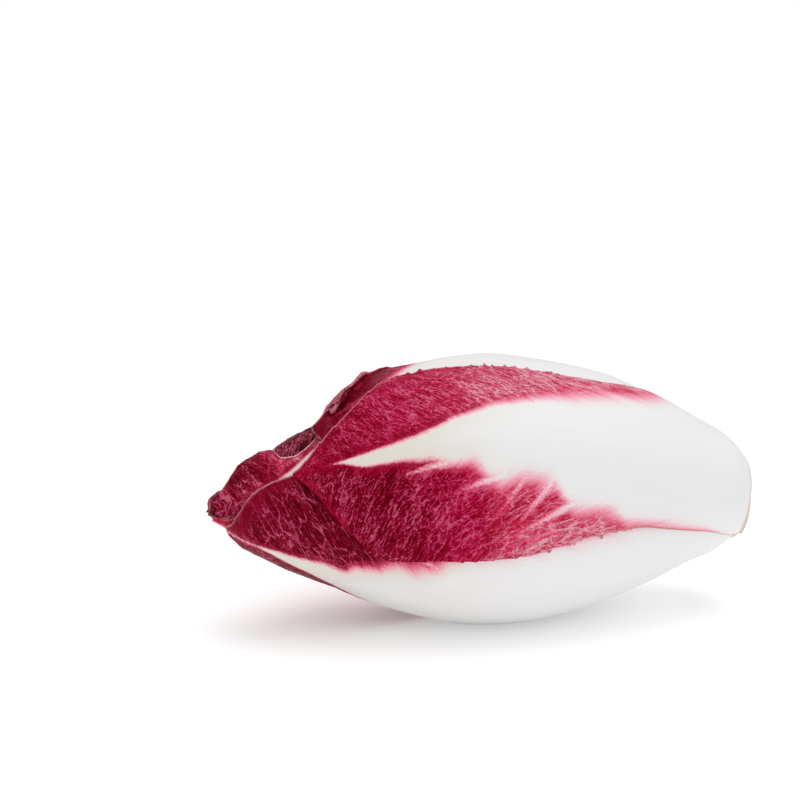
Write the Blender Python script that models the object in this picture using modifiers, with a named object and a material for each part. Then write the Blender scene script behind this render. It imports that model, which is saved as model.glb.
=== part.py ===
# A head of red chicory lying on its side: a cut stem with broad leaves wrapped round it in four rings.
# The long axis runs along X with the cut base at +X and the leaf tips at -X, and the head rests on Z = 0.
import math
from collections import namedtuple

import bpy
import numpy as np

MM = 0.001

# The head as a whole. The shifts bring the middle of its box to the origin, and the profiles pair a share
# of the length, from the base, with a share of the belly's radius.
HEAD_LENGTH = 126 * MM
BELLY_RADIUS = 31 * MM
BELLY_HEIGHT = 29.4 * MM
SHIFT_X, SHIFT_Y = -0.4 * MM, 0.2 * MM
OUTER_PROFILE = (
    (0.00, 0.33),
    (0.03, 0.43),
    (0.10, 0.565),
    (0.20, 0.755),
    (0.34, 0.93),
    (0.48, 1.00),
    (0.60, 0.95),
    (0.70, 0.815),
    (0.80, 0.60),
    (0.88, 0.425),
    (0.94, 0.30),
    (1.00, 0.12),
)
INNER_PROFILE = (
    (0.00, 0.30),
    (0.10, 0.51),
    (0.20, 0.69),
    (0.34, 0.86),
    (0.48, 0.91),
    (0.60, 0.83),
    (0.70, 0.67),
    (0.80, 0.545),
    (0.88, 0.415),
    (0.94, 0.30),
    (1.00, 0.12),
)

# How far the centre line dips below its height at the belly, or rises above it where this is less than zero
DIPS = (
    (0.00, 4.7 * MM),
    (0.10, 2.4 * MM),
    (0.25, 0.5 * MM),
    (0.45, 0.0),
    (0.60, -0.5 * MM),
    (0.72, 0.2 * MM),
    (0.84, 1.3 * MM),
    (1.00, 1.3 * MM),
)

# How the leaves lie on each other: a gap parts them, and past the edge of one the next swells over the
# length EASE into the room left for it, softly and by no more than FREE_RISE
LEAF_GAP = 0.6 * MM
EASE = 15 * MM
BLEND = 0.7 * MM
FREE_RISE = 1.2 * MM

# The outline of a blade: it is narrower by the share NARROWING at the base and widest past the shoulder
NARROWING = 0.25
SHOULDER = 0.65
CLASP_REACH = 0.06
TIP_WIDTH = 1.6 * MM
END_BUNCHING = 0.1

# Its thickness: thin margins, and a midrib that thickens over its first quarter and narrows to its tip
EDGE_THICKNESS = 0.5 * MM
EDGE_WIDTH = 5 * MM
RIB_START = 0.25
RIB_GROWTH = 0.25
RIB_NARROWING = 0.8

# How its margins stand off and ruffle towards the tip, and the keel that the midrib raises outside
RISE_START = 0.62
RISE_LENGTH = 0.3
RISE_WIDTH = 11 * MM
RISE_ANGLE = 25.0
RUFFLE = 0.35
RUFFLE_LENGTH = 18 * MM
KEEL = 0.5 * MM
KEEL_START = 0.15

# The ground cuts off only faces that look down by more than this share, and whatever ends within FOOT_SNAP
# of it is pressed flat
FACING_DOWN = 0.05
FOOT_SNAP = 0.25 * MM

Ring = namedtuple("Ring", "start profile reach blade rib rib_width along across")
RINGS = (
    Ring(0.000, OUTER_PROFILE, 1.00, 0.75 * MM, 2.6 * MM, 9.0 * MM, 18, 14),
    Ring(0.040, INNER_PROFILE, 1.00, 0.70 * MM, 1.9 * MM, 7.0 * MM, 18, 14),
    Ring(0.085, INNER_PROFILE, 0.74, 0.65 * MM, 1.3 * MM, 4.5 * MM, 12, 10),
    Ring(0.130, INNER_PROFILE, 0.42, 0.60 * MM, 0.8 * MM, 2.5 * MM, 10, 8),
)

# Each leaf, from the outermost inwards. Angles are in degrees round the head, 0 towards -Y and 90 upwards.
# The midrib starts at angle, and past the share bend of the head's length it swings by lean up to its tip.
# minus and plus are the blade's half widths, and clasp is the share by which it is wider where it grows
# from the stem. Its two margins close in past taper_minus and taper_plus of its length, bluntly where blunt
# is high, and rise_minus and rise_plus are how far they stand off near the tip.
Leaf = namedtuple(
    "Leaf",
    "name ring angle lean bend tip minus plus clasp taper_minus taper_plus blunt rise_minus rise_plus",
)
LEAVES = (
    Leaf("outer_leaf_1", 0, 28, 12, 0.0, 0.850, 54, 44, 0.80, 0.85, 0.75, 1.5, 2.4 * MM, 1.0 * MM),
    Leaf("outer_leaf_2", 0, -66, 28, 0.0, 0.988, 66, 80, 0.15, 0.80, 0.84, 5.0, 0.6 * MM, 0.3 * MM),
    Leaf("outer_leaf_3", 0, 112, -38, 0.3, 0.800, 60, 40, 0.45, 0.86, 0.50, 2.6, 2.0 * MM, 2.0 * MM),
    Leaf("outer_leaf_4", 0, 242, -6, 0.5, 0.880, 60, 62, 0.15, 0.78, 0.76, 2.6, 0.8 * MM, 0.8 * MM),
    Leaf("outer_leaf_5", 0, 180, 6, 0.5, 0.850, 64, 62, 0.00, 0.76, 0.78, 2.6, 1.2 * MM, 1.2 * MM),
    Leaf("middle_leaf_1", 1, 110, -80, 0.5, 1.000, 64, 68, 0.00, 0.80, 0.80, 3.6, 0.4 * MM, 0.6 * MM),
    Leaf("middle_leaf_2", 1, 160, -30, 0.5, 0.960, 66, 64, 0.00, 0.76, 0.78, 3.6, 0.6 * MM, 0.8 * MM),
    Leaf("middle_leaf_3", 1, 276, 10, 0.5, 0.985, 64, 66, 0.00, 0.78, 0.76, 3.6, 0.5 * MM, 0.5 * MM),
    Leaf("middle_leaf_4", 1, 214, 8, 0.5, 0.965, 64, 66, 0.00, 0.76, 0.78, 3.6, 0.8 * MM, 0.8 * MM),
    Leaf("middle_leaf_5", 1, 0, 10, 0.5, 0.950, 64, 64, 0.00, 0.78, 0.76, 3.6, 0.3 * MM, 0.3 * MM),
    Leaf("inner_leaf_1", 2, 95, 10, 0.5, 0.940, 74, 74, 0.00, 0.70, 0.70, 2.6, 0.3 * MM, 0.3 * MM),
    Leaf("inner_leaf_2", 2, 235, -8, 0.5, 0.925, 74, 74, 0.00, 0.70, 0.70, 2.6, 0.3 * MM, 0.3 * MM),
    Leaf("inner_leaf_3", 2, -22, 6, 0.5, 0.910, 74, 74, 0.00, 0.70, 0.70, 2.6, 0.3 * MM, 0.3 * MM),
    Leaf("inner_leaf_4", 2, 165, 0, 0.5, 0.890, 70, 70, 0.00, 0.70, 0.70, 2.6, 0.3 * MM, 0.3 * MM),
    Leaf("heart_leaf_1", 3, 20, 10, 0.5, 0.860, 80, 80, 0.00, 0.60, 0.60, 2.2, 0.2 * MM, 0.2 * MM),
    Leaf("heart_leaf_2", 3, 150, -8, 0.5, 0.820, 80, 80, 0.00, 0.60, 0.60, 2.2, 0.2 * MM, 0.2 * MM),
    Leaf("heart_leaf_3", 3, 275, 6, 0.5, 0.780, 80, 80, 0.00, 0.60, 0.60, 2.2, 0.2 * MM, 0.2 * MM),
)

# The cut stem that the leaves grow from, which points along the centre line at STEM_BEARING. Its profile
# pairs a share of the head's length with the stem's radius there.
STEM_STEPS = 24
STEM_BEARING = 0.04
STEM_MERGE = 0.01 * MM
STEM_PROFILE = (
    (0.002, 0.0),
    (0.002, 4.8 * MM),
    (0.035, 4.6 * MM),
    (0.080, 3.7 * MM),
    (0.125, 2.4 * MM),
    (0.160, 1.3 * MM),
    (0.180, 0.0),
)

CRIMSON = (0.36, 0.01, 0.07)
PINK = (0.62, 0.28, 0.34)
CREAM = (0.86, 0.83, 0.74)
LEAF_ROUGHNESS = 0.45
STEM_ROUGHNESS = 0.55


def smooth_step(x):
    x = np.clip(x, 0.0, 1.0)
    return x * x * (3.0 - 2.0 * x)


def soft_min(a, b):
    return 0.5 * (a + b - np.sqrt((a - b) ** 2 + BLEND**2))


def smooth_curve(points, x):
    # A curve through the points with no corners, read at x.
    xs, ys = np.array(points).T
    slopes = np.gradient(ys, xs)
    i = np.clip(np.searchsorted(xs, x) - 1, 0, len(xs) - 2)
    width = xs[i + 1] - xs[i]
    t = np.clip((x - xs[i]) / width, 0.0, 1.0)
    rise = 3 * t**2 - 2 * t**3
    start = (t**3 - 2 * t**2 + t) * width * slopes[i]
    end = (t**3 - t**2) * width * slopes[i + 1]
    return ys[i] * (1 - rise) + ys[i + 1] * rise + start + end


def ring_radius(leaf, s):
    ring = RINGS[leaf.ring]
    return smooth_curve(ring.profile, s) * BELLY_RADIUS * ring.reach


def flare(leaf, s):
    # How much longer a wall is along the radius than square to the sloping profile.
    step = 0.002
    slope = (ring_radius(leaf, s + step) - ring_radius(leaf, s - step)) / (2 * step * HEAD_LENGTH)
    return np.sqrt(1.0 + slope**2)


def midline(s):
    # X and Z of the head's centre line, which is lower at both ends than at the belly.
    return HEAD_LENGTH * (0.5 - s) + SHIFT_X, BELLY_HEIGHT - smooth_curve(DIPS, s)


def section_axis(s):
    # The direction that counts as up in the slice across the head at s.
    step = 0.001
    x0, z0 = midline(s - step)
    x1, z1 = midline(s + step)
    length = np.hypot(x1 - x0, z1 - z0)
    return (z1 - z0) / length, -(x1 - x0) / length


def place(s, angle, radius):
    # A point of the head from its share of the length, its angle round the axis and its distance from it.
    x, z = midline(s)
    up_x, up_z = section_axis(s)
    side, up = -np.cos(angle) * radius, np.sin(angle) * radius
    return np.stack([x + up * up_x, side + SHIFT_Y, z + up * up_z], axis=-1)


def midrib(leaf, s):
    # The angle of the leaf's midrib in degrees.
    return leaf.angle + leaf.lean * smooth_step((s - leaf.bend) / (leaf.tip - leaf.bend))


def turned(leaf, s, angle):
    # The angle from the leaf's midrib, from -180 to 180 degrees.
    return (np.degrees(angle) - midrib(leaf, s) + 180.0) % 360.0 - 180.0


def half_width(leaf, s, side):
    # The blade's half width in degrees, which grows from the base to the shoulder and closes at the tip.
    taper = np.where(side < 0, leaf.taper_minus, leaf.taper_plus)
    share = np.clip((s / leaf.tip - taper) / (1 - taper), 0.0, 1.0)
    narrow = 1.0 - NARROWING * (1.0 - smooth_step(s / SHOULDER))
    clasp = 1.0 + leaf.clasp * np.exp(-s / CLASP_REACH)
    return np.where(side < 0, leaf.minus, leaf.plus) * narrow * clasp * (1.0 - share**leaf.blunt)


def inside(leaf, s, angle, radius):
    # How far a point lies within the leaf's outline, and below zero outside it.
    off = turned(leaf, s, angle)
    across = np.radians(half_width(leaf, s, off) - np.abs(off)) * radius
    beyond = np.maximum(s - leaf.tip, 0.0) * HEAD_LENGTH
    return np.where(beyond > 0, -np.hypot(np.minimum(across, 0.0), beyond), across)


def rib_shape(leaf, s, angle, radius):
    # One on the midrib, fading to nought on the blade. The rib narrows towards the tip.
    arc = np.radians(turned(leaf, s, angle)) * radius
    width = RINGS[leaf.ring].rib_width * (1.0 - RIB_NARROWING * np.clip(s / leaf.tip, 0.0, 1.0))
    return np.exp(-((arc / width) ** 2))


def thickness(leaf, s, angle):
    ring = RINGS[leaf.ring]
    radius = ring_radius(leaf, s)
    share = np.clip((s - ring.start) / (leaf.tip - ring.start), 0.0, 1.0)
    rib = ring.rib * np.minimum(1.0, RIB_START + share / RIB_GROWTH) * (1.0 - share)
    edge = smooth_step(inside(leaf, s, angle, radius) / EDGE_WIDTH)
    blade = EDGE_THICKNESS + (ring.blade - EDGE_THICKNESS) * edge
    return blade + rib * rib_shape(leaf, s, angle, radius)


def free_face(leaf, s, angle, exposed):
    # Where the leaf's outer face would lie with nothing over it: its ring's profile, a keel along the
    # midrib and margins that stand off and ruffle near the tip, all cut off by the ground.
    radius = ring_radius(leaf, s)
    depth = inside(leaf, s, angle, radius)
    off = turned(leaf, s, angle)
    near_tip = smooth_step((s / leaf.tip - RISE_START) / RISE_LENGTH)
    near_edge = 1.0 - smooth_step(depth / RISE_WIDTH)
    keel = KEEL * rib_shape(leaf, s, angle, radius) * smooth_step(s / KEEL_START)
    wave = 1.0 + RUFFLE * np.sin(math.tau * s * HEAD_LENGTH / RUFFLE_LENGTH + leaf.angle)
    rise = np.where(off < 0, leaf.rise_minus, leaf.rise_plus) * smooth_step(np.abs(off) / RISE_ANGLE)
    radius = radius + (keel + near_tip * near_edge * wave * rise) * exposed
    _, up_z = section_axis(s)
    downward = -np.sin(angle) * up_z
    floor = midline(s)[1] / np.maximum(downward, 1e-6)
    return np.where(downward > FACING_DOWN, np.minimum(radius, floor), radius)


def leaf_faces(count, s, angle):
    # Outer and inner radius of leaf number count, found by laying it under every leaf outside it.
    laid = []
    for leaf in LEAVES[: count + 1]:
        covers = [
            smooth_step(-inside(over, s, angle, ring_radius(over, s)) / EASE)
            for over, _ in laid
        ]
        exposed = np.ones_like(s)
        for cover in covers:
            exposed = exposed * cover
        free = free_face(leaf, s, angle, exposed)
        outer = free
        for cover, (_, under) in zip(covers, laid):
            limit = under - LEAF_GAP
            room = np.maximum(free + FREE_RISE - limit, 0.0)
            outer = soft_min(outer, limit + room * cover)
        inner = outer - thickness(leaf, s, angle) * flare(leaf, s)
        laid.append((leaf, inner))
    return outer, inner


def material(name, colour, roughness):
    made = bpy.data.materials.new(name)
    made.use_nodes = True
    shader = made.node_tree.nodes["Principled BSDF"]
    shader.inputs["Base Color"].default_value = (*colour, 1.0)
    shader.inputs["Roughness"].default_value = roughness
    shader.inputs["Metallic"].default_value = 0.0
    return made


def link(name, data, made, collection):
    obj = bpy.data.objects.new(name, data)
    obj.data.materials.append(made)
    collection.objects.link(obj)
    return obj


def leaf_object(number, made, collection):
    # The outer face is a grid wrapped round the head, and Solidify gives it its thickness inwards.
    leaf = LEAVES[number]
    ring = RINGS[leaf.ring]
    bpy.ops.mesh.primitive_grid_add(
        x_subdivisions=ring.across, y_subdivisions=ring.along, size=2
    )
    obj = bpy.context.object
    mesh = obj.data
    grid = np.zeros(len(mesh.vertices) * 3)
    mesh.vertices.foreach_get("co", grid)
    u, v = grid.reshape(-1, 3)[:, 0], (grid.reshape(-1, 3)[:, 1] + 1) / 2
    v = v + END_BUNCHING * np.sin(math.tau * (v - 0.5)) / math.pi
    s = ring.start + (leaf.tip - ring.start) * v
    narrowest = np.degrees(TIP_WIDTH / ring_radius(leaf, s))
    width = np.maximum(half_width(leaf, s, u), narrowest)
    angle = np.radians(midrib(leaf, s) + u * width)
    outer, _ = leaf_faces(number, s, angle)
    points = place(s, angle, outer)
    points[points[:, 2] < FOOT_SNAP, 2] = 0.0
    mesh.vertices.foreach_set("co", points.ravel())
    mesh.update()
    thick = thickness(leaf, s, angle)
    most = thick.max()
    group = obj.vertex_groups.new(name="thickness")
    for i, value in enumerate(thick):
        group.add([i], float(value / most), "REPLACE")
    shell = obj.modifiers.new("Solidify", "SOLIDIFY")
    shell.thickness = most
    shell.offset = -1.0
    shell.vertex_group = group.name
    obj.name = leaf.name
    mesh.name = leaf.name
    mesh.materials.append(made)
    mesh.shade_smooth()
    for other in list(obj.users_collection):
        other.objects.unlink(obj)
    collection.objects.link(obj)
    return obj


def stem_object(made, collection):
    # A blunt cone turned about the head's centre line, with its cut face at the base.
    mesh = bpy.data.meshes.new("stem")
    rows = [(radius, 0.0, -s * HEAD_LENGTH) for s, radius in STEM_PROFILE]
    edges = [(i, i + 1) for i in range(len(rows) - 1)]
    mesh.from_pydata(rows, edges, [])
    obj = link("stem", mesh, made, collection)
    turn = obj.modifiers.new("Screw", "SCREW")
    turn.steps = STEM_STEPS
    turn.render_steps = STEM_STEPS
    turn.use_merge_vertices = True
    turn.merge_threshold = STEM_MERGE
    x, z = midline(0.0)
    up_x, up_z = section_axis(STEM_BEARING)
    obj.location = (x, SHIFT_Y, z)
    obj.rotation_euler = (0.0, math.atan2(up_z, -up_x), 0.0)
    return obj


def clear_scene():
    for obj in list(bpy.data.objects):
        bpy.data.objects.remove(obj)


def build():
    clear_scene()
    collection = bpy.data.collections.new("red_chicory")
    bpy.context.scene.collection.children.link(collection)
    crimson = material("leaf_crimson", CRIMSON, LEAF_ROUGHNESS)
    pink = material("leaf_inner", PINK, LEAF_ROUGHNESS)
    cream = material("stem_cream", CREAM, STEM_ROUGHNESS)
    for number, leaf in enumerate(LEAVES):
        leaf_object(number, crimson if leaf.ring < 2 else pink, collection)
    stem_object(cream, collection)


build()
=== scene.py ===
import math

import bpy
import numpy as np
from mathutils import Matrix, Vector


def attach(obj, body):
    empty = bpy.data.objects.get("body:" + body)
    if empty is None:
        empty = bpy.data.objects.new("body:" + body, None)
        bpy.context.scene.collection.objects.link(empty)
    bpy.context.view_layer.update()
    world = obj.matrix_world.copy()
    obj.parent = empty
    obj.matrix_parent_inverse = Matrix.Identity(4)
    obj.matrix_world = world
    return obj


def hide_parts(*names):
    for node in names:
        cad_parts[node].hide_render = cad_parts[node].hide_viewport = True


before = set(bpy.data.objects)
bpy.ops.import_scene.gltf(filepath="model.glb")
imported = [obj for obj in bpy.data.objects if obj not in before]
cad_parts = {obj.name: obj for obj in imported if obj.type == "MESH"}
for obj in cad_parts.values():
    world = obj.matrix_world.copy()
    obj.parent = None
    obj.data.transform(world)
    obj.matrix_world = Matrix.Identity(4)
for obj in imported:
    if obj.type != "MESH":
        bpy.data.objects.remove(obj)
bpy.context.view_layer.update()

mm = 0.001

# The head lies along X, cut base at +X, and every leaf is laid on it by its share s of the length (0 at the
# base, 1 at the tip) and its angle round the centre line (0 towards the camera, 90 upwards).
head = {
    "length": 126 * mm,
    "bellyRadius": 31 * mm,
    "bellyHeight": 29.4 * mm,  # of the centre line above the surface
    "shiftX": 0.1 * mm,
    "shiftY": 0.2 * mm,
    "outerProfile": (  # share of the belly's radius, by share of the length
        (0.00, 0.33), (0.03, 0.43), (0.10, 0.565), (0.20, 0.755), (0.34, 0.93), (0.48, 1.00),
        (0.60, 0.95), (0.70, 0.815), (0.80, 0.60), (0.88, 0.415), (0.94, 0.265), (0.97, 0.145), (1.00, 0.05),
    ),
    "innerProfile": (
        (0.00, 0.30), (0.10, 0.51), (0.20, 0.69), (0.34, 0.86), (0.48, 0.91),
        (0.60, 0.83), (0.70, 0.67), (0.80, 0.545), (0.88, 0.405), (0.94, 0.265), (0.97, 0.145), (1.00, 0.05),
    ),
    "dips": (  # mm that the centre line lies below its height at the belly
        (0.00, 4.7), (0.10, 2.4), (0.25, 0.5), (0.45, 0.0), (0.60, -0.5),
        (0.72, 0.2), (0.84, 1.2), (0.93, 1.6), (0.97, 2.2), (1.00, 3.2),
    ),
}

laying = {
    "gap": 0.3 * mm,  # between one leaf and the next
    "ease": 15 * mm,  # over which a leaf comes free past the margin that covers it
    "blend": 0.7 * mm,  # how softly it bends in under that margin
    "freeRise": 1.2 * mm,  # room over it once it is free
    "claspReach": 0.06,  # share of the length over which a clasping base is wider
    "narrowing": 0.25,  # share of its width that a leaf lacks at the base
    "shoulder": 0.65,  # share of the length where it has its full width
    "edgeThickness": 0.5 * mm,
    "edgeWidth": 5 * mm,  # over which the blade thins to that
    "ribTaper": 0.8,  # share of its width that the rib loses up to the tip
    "ribBase": 0.25,  # share of its thickness that it has at the base
    "ribSwell": 0.25,  # share of the leaf over which it would gain all of it
    "tipLength": 4 * mm,  # over which the tip rounds off
    "tipLeast": 0.06,  # share of its half width that the very tip keeps
    "ruffle": 0.35,  # share by which the lift of a free margin waves
    "ruffleLength": 18 * mm,
    "riseStart": 0.62,  # share of the leaf from which its margins lift
    "riseLength": 0.3,
    "riseWidth": 11 * mm,  # of the strip that lifts
    "riseAngle": 25.0,  # degrees from the midrib where the lift is full
    "keel": 0.5 * mm,  # by which the rib stands proud
    "keelStart": 0.15,  # share of the length over which the keel comes up
    "facingFloor": 0.05,  # least downward part of the directions that the floor stops
    "footSnap": 0.25 * mm,  # what is lower than this lies on the floor
    "crowding": 0.1,  # more brings a leaf's rows closer towards its ends
}

# Share of the length where a ring of leaves starts, share of its profile that it keeps to, thickness of the
# blade and the rib and half width of the rib. The inner two rings close towards the axis.
rings = (
    {"start": 0.000, "profile": "outerProfile", "reach": 1.00,
        "blade": 0.75 * mm, "rib": 2.6 * mm, "ribWidth": 9.0 * mm},
    {"start": 0.040, "profile": "innerProfile", "reach": 1.00,
        "blade": 0.70 * mm, "rib": 1.9 * mm, "ribWidth": 7.0 * mm},
    {"start": 0.085, "profile": "innerProfile", "reach": 0.74,
        "blade": 0.65 * mm, "rib": 1.3 * mm, "ribWidth": 4.5 * mm,
        "closing": ((0.00, 1.00), (0.78, 1.00), (0.86, 0.80), (0.94, 0.30), (1.00, 0.25))},
    {"start": 0.130, "profile": "innerProfile", "reach": 0.42,
        "blade": 0.60 * mm, "rib": 0.8 * mm, "ribWidth": 2.5 * mm,
        "closing": ((0.00, 1.00), (0.62, 1.00), (0.72, 0.80), (0.86, 0.25), (1.00, 0.20))},
)

# What any leaf has unless its own dictionary says otherwise. Its midrib starts at an angle and leans by more
# degrees towards its tip. Minus and plus are the half widths of its two sides in degrees, taper the share of
# the leaf where a side starts to close, and rise the mm that its free margin lifts.
# By share of the length, white gives the half angle of the pale rib, feather the mm by which red streaks run
# into it, pale how light the red is, rim how much the margin pales, trim the degrees that the leaf is
# narrower, and band the mm beside its margins and its rib that stay smooth. A streak is white that runs into
# the red: two ends as share and mm from the midrib, and the half width in mm at each.
plainLeaf = {
    "bend": 0.5,  # share of the length from which the midrib leans
    "clasp": 0.0,  # share by which the base widens round the head
    "blunt": 2.6,  # more makes a blunter end
    "whiteMinus": ((0.00, 70), (0.10, 56), (0.25, 42), (0.45, 26), (0.62, 12),
        (0.75, 5), (0.90, 1), (1.00, -3)),
    "whitePlus": ((0.00, 70), (0.10, 54), (0.25, 40), (0.45, 24), (0.62, 11),
        (0.75, 5), (0.90, 1), (1.00, -3)),
    "feather": ((0.00, 6.0), (0.30, 5.0), (0.50, 4.0), (0.65, 2.0), (1.00, 0.8)),
    "featherPlus": None,  # the same as feather
    "pale": ((0.00, 1.0), (0.30, 0.9), (0.45, 0.7), (0.58, 0.4), (0.70, 0.2), (1.00, 0.15)),
    "palePlus": None,
    "rim": ((0.00, 0.5), (1.00, 0.5)),
    "rimPlus": None,
    "trim": ((0.00, 0.0), (1.00, 0.0)),
    "trimPlus": ((0.00, 0.0), (1.00, 0.0)),
    "band": ((0.00, 0.0), (0.55, 0.0), (0.65, 1.6), (1.00, 1.6)),
    "ribBand": ((0.00, 0.0), (0.55, 0.0), (0.65, 1.2), (1.00, 1.2)),
    "streaks": (),
    "pucker": 0.22, "wrinkle": 0.12,  # mm that the blade puffs and folds
    "teeth": 0.35, "toothSpacing": 2.6,  # mm
    "tipRound": 1.4,  # mm of half width that the tip ends with
    "spines": (),  # (side, from share, to share, length mm) of stretches of margin with fine spines
    "rolls": (),  # (side, from share, to share, radius mm, reach mm) of margins that roll outwards
    "bulges": (),  # (share, mm from the midrib, reach mm, height mm)
    "along": 60, "across": 40, "slot": "outer_leaf", "skin": "outer",
}

frontLeaf = dict(plainLeaf, node="outer_leaf_1", ring=0, angle=28, lean=12, bend=0.0, tip=0.850, minus=54,
    plus=44, clasp=0.80, taperMinus=0.85, taperPlus=0.75, blunt=1.5, riseMinus=2.4, risePlus=1.0, along=250,
    across=130,
    trim=((0.00, 0), (0.12, 0), (0.19, 4), (0.24, 7), (0.30, 7.5), (0.38, 6.5), (0.46, 2.5), (0.54, 0),
        (1.00, 0)),
    trimPlus=((0.00, -25), (0.10, -23), (0.18, -20), (0.25, -8), (0.30, -3), (0.38, 1), (0.46, 2),
        (0.60, 2), (0.75, 1.5), (1.00, 1)),
    rim=((0.00, 0.6), (0.40, 0.7), (0.46, 0.1), (1.00, 0.0)),
    rimPlus=((0.00, 0.7), (0.45, 0.5), (0.60, 0.65), (1.00, 0.65)),
    tipRound=0.8,
    whitePlus=((0.00, 95), (0.06, 85), (0.12, 73), (0.16, 59), (0.19, 47), (0.225, 38), (0.271, 31),
        (0.346, 24.2), (0.425, 19.2), (0.505, 14.8), (0.557, 10.3), (0.621, 2.8), (0.686, -1.3),
        (0.735, -2.6), (0.785, -3.5), (0.85, -6)),
    whiteMinus=((0.00, 80), (0.072, 53), (0.165, 39.6), (0.255, 35.4), (0.285, 34.5), (0.305, 31),
        (0.341, 29), (0.381, 29), (0.395, 27.5), (0.405, 23.5), (0.415, 20), (0.445, 18.4), (0.484, 18),
        (0.521, 19.5), (0.535, 18), (0.548, 13.8), (0.560, 12.2), (0.591, 12.3), (0.605, 12),
        (0.618, 10.4), (0.659, 9.3), (0.699, 9), (0.739, 8.1), (0.760, 4.8), (0.784, 2.3), (0.81, -0.5),
        (0.85, -4)),
    feather=((0.00, 1.4), (0.20, 1.4), (0.30, 1.5), (0.37, 1.7), (0.42, 1.9), (0.50, 1.9), (0.56, 1.4),
        (0.62, 0.9), (0.68, 0.4), (1.00, 0.3)),
    featherPlus=((0.00, 3.0), (0.20, 2.8), (0.35, 2.0), (0.45, 1.1), (0.55, 0.7), (0.65, 0.3),
        (1.00, 0.3)),
    pale=((0.00, 2.0), (0.12, 1.9), (0.20, 1.7), (0.28, 1.28), (0.36, 1.24), (0.44, 1.26), (0.50, 1.02),
        (0.56, 0.52), (0.64, 0.28), (0.85, 0.18)),
    palePlus=((0.00, 2.0), (0.20, 2.0), (0.28, 1.42), (0.36, 1.28), (0.44, 1.28), (0.52, 1.18),
        (0.60, 0.76), (0.68, 0.45), (0.85, 0.3)),
    streaks=(
        ((0.605, -6.3), (0.685, -7.9), 0.7, -0.7),
        ((0.511, -8.8), (0.590, -12.8), 1.4, -0.7),
        ((0.466, -7.6), (0.528, -18.4), 0.6, -0.7),
        ((0.412, -7.4), (0.496, -20.8), 1.0, -0.6),
        ((0.368, -12.4), (0.512, -23.6), 1.1, -0.7),
        ((0.420, -20.2), (0.505, -25.0), -0.1, -0.7),
    ),
    band=((0.00, 0.0), (0.66, 0.0), (0.74, 0.7), (0.80, 1.0), (1.00, 1.2)),
    ribBand=((0.00, 0.0), (0.48, 0.0), (0.57, 1.5), (0.75, 1.9), (1.00, 1.9)),
    skin="front", teeth=0.8, toothSpacing=3.9, spines=((1, 0.36, 0.70, 4.2), (-1, 0.26, 0.47, 1.6)))

lowerLeaf = dict(plainLeaf, node="outer_leaf_2", ring=0, angle=-66, lean=28, bend=0.0, tip=0.968, minus=66,
    plus=80, clasp=0.15, taperMinus=0.80, taperPlus=0.84, blunt=5.0, tipRound=3.0, riseMinus=0.6,
    risePlus=0.3, along=250, across=140,
    whitePlus=((0.00, 75), (0.20, 62), (0.35, 50), (0.50, 38), (0.595, 30), (0.621, 24), (0.655, 19),
        (0.689, 19), (0.72, 14), (0.754, 9.5), (0.777, 4), (0.801, 5.2), (0.846, 3.4), (0.88, 2),
        (0.91, -1), (1.00, -4)),
    whiteMinus=((0.00, 75), (0.20, 62), (0.40, 50), (0.55, 42), (0.66, 36), (0.75, 29), (0.797, 21),
        (0.845, 12.5), (0.885, 6.5), (0.91, 1.5), (0.93, -1), (1.00, -4)),
    feather=((0.00, 3.0), (0.50, 1.6), (0.70, 0.5), (1.00, 0.3)),
    featherPlus=((0.00, 4.0), (0.50, 2.6), (0.65, 1.8), (0.77, 1.0), (0.85, 0.4), (1.00, 0.3)),
    pale=((0.00, 0.9), (0.50, 0.5), (0.70, 0.1), (1.00, 0.05)),
    palePlus=((0.00, 1.0), (0.40, 0.8), (0.52, 0.55), (0.62, 0.25), (0.72, 0.08), (1.00, 0.10)),
    streaks=(
        ((0.875, 0.0), (0.970, -0.5), 0.0, -0.1),
        ((0.600, 11.0), (0.660, 13.0), 0.5, 0.0),
        ((0.540, 14.0), (0.600, 17.5), 0.8, 0.0),
    ),
    band=((0.00, 0.0), (0.60, 0.0), (0.70, 1.2), (0.80, 2.0), (0.90, 3.2), (1.00, 4.0)),
    ribBand=((0.00, 0.0), (0.60, 0.0), (0.75, 1.2), (1.00, 1.4)),
    rim=((0.00, 0.3), (1.00, 0.3)),
    rimPlus=((0.00, 0.3), (0.70, 0.3), (0.85, 0.7), (1.00, 0.6)),
    pucker=0.30, skin="lower")

topLeaf = dict(plainLeaf, node="outer_leaf_3", ring=0, angle=112, lean=-38, bend=0.3, tip=0.800, minus=60,
    plus=40, clasp=0.45, taperMinus=0.86, taperPlus=0.50, riseMinus=2.0, risePlus=1.0, along=220,
    across=120,
    whiteMinus=((0.00, 75), (0.20, 56), (0.40, 44), (0.50, 34), (0.58, 20), (0.64, 4), (0.70, -2),
        (0.80, -6)),
    whitePlus=((0.00, 75), (0.20, 50), (0.40, 34), (0.50, 26), (0.58, 16), (0.64, 4), (0.70, -2),
        (0.80, -6)),
    feather=((0.00, 3.0), (0.50, 2.0), (0.70, 1.0), (1.00, 0.5)),
    pale=((0.00, 1.0), (0.40, 0.8), (0.55, 0.45), (0.65, 0.25), (0.80, 0.2)),
    teeth=0.9, toothSpacing=1.9, tipRound=2.5,
    rolls=((1, 0.60, 0.72, 0.4, 0.9), (1, 0.66, 0.79, 0.9, 2.6)),
    rim=((0.00, 0.5), (0.50, 0.3), (0.62, 0.8), (0.80, 0.9)),
    band=((0.00, 0.0), (0.55, 0.0), (0.64, 5.0), (1.00, 6.0)), skin="top")

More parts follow.
